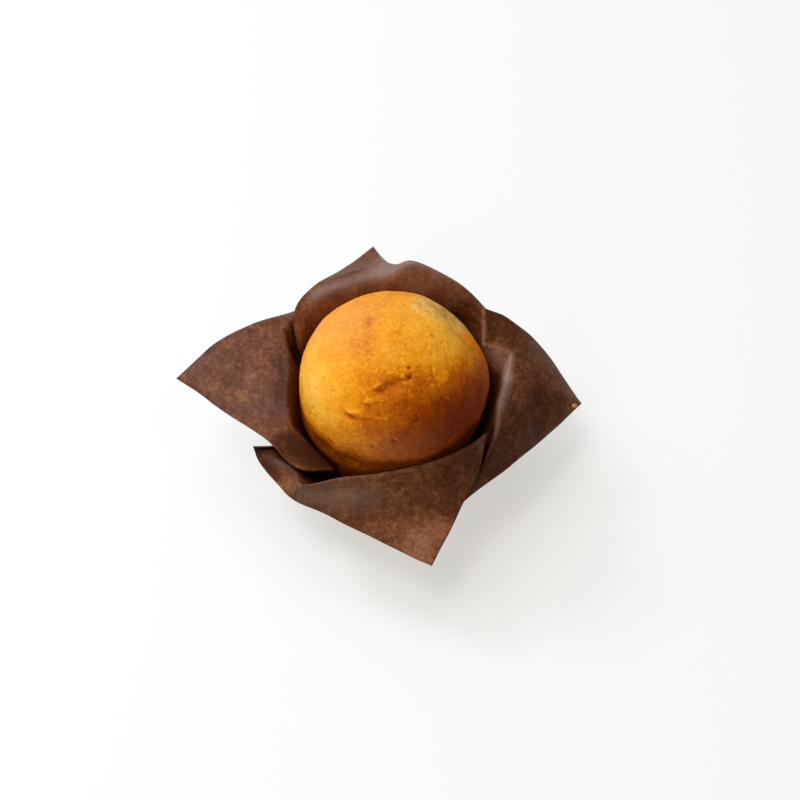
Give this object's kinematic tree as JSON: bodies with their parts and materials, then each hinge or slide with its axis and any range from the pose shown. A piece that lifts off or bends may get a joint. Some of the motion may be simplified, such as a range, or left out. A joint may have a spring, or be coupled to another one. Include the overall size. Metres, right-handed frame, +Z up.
{
  "type": "muffin in a paper case",
  "caption": "Round-domed golden muffin standing in a folded square of brown greaseproof paper whose corners flare out as petals.",
  "frame": {"origin": "middle of the underside of the paper case's round base, where it stands on the table", "axes": "+Z up; +X to the right and +Y to the back as the picture sees the muffin, so the four petals point left (-X), right (+X), front (-Y) and back (+Y)"},
  "size_m": [0.1417, 0.1274, 0.0714],
  "materials": {
    "muffin_crust": "matte",
    "greaseproof_paper": "matte"
  },
  "bodies": {
    "root": {"muffin": "muffin_crust", "paper_case": "greaseproof_paper"}
  },
  "joints": []
}
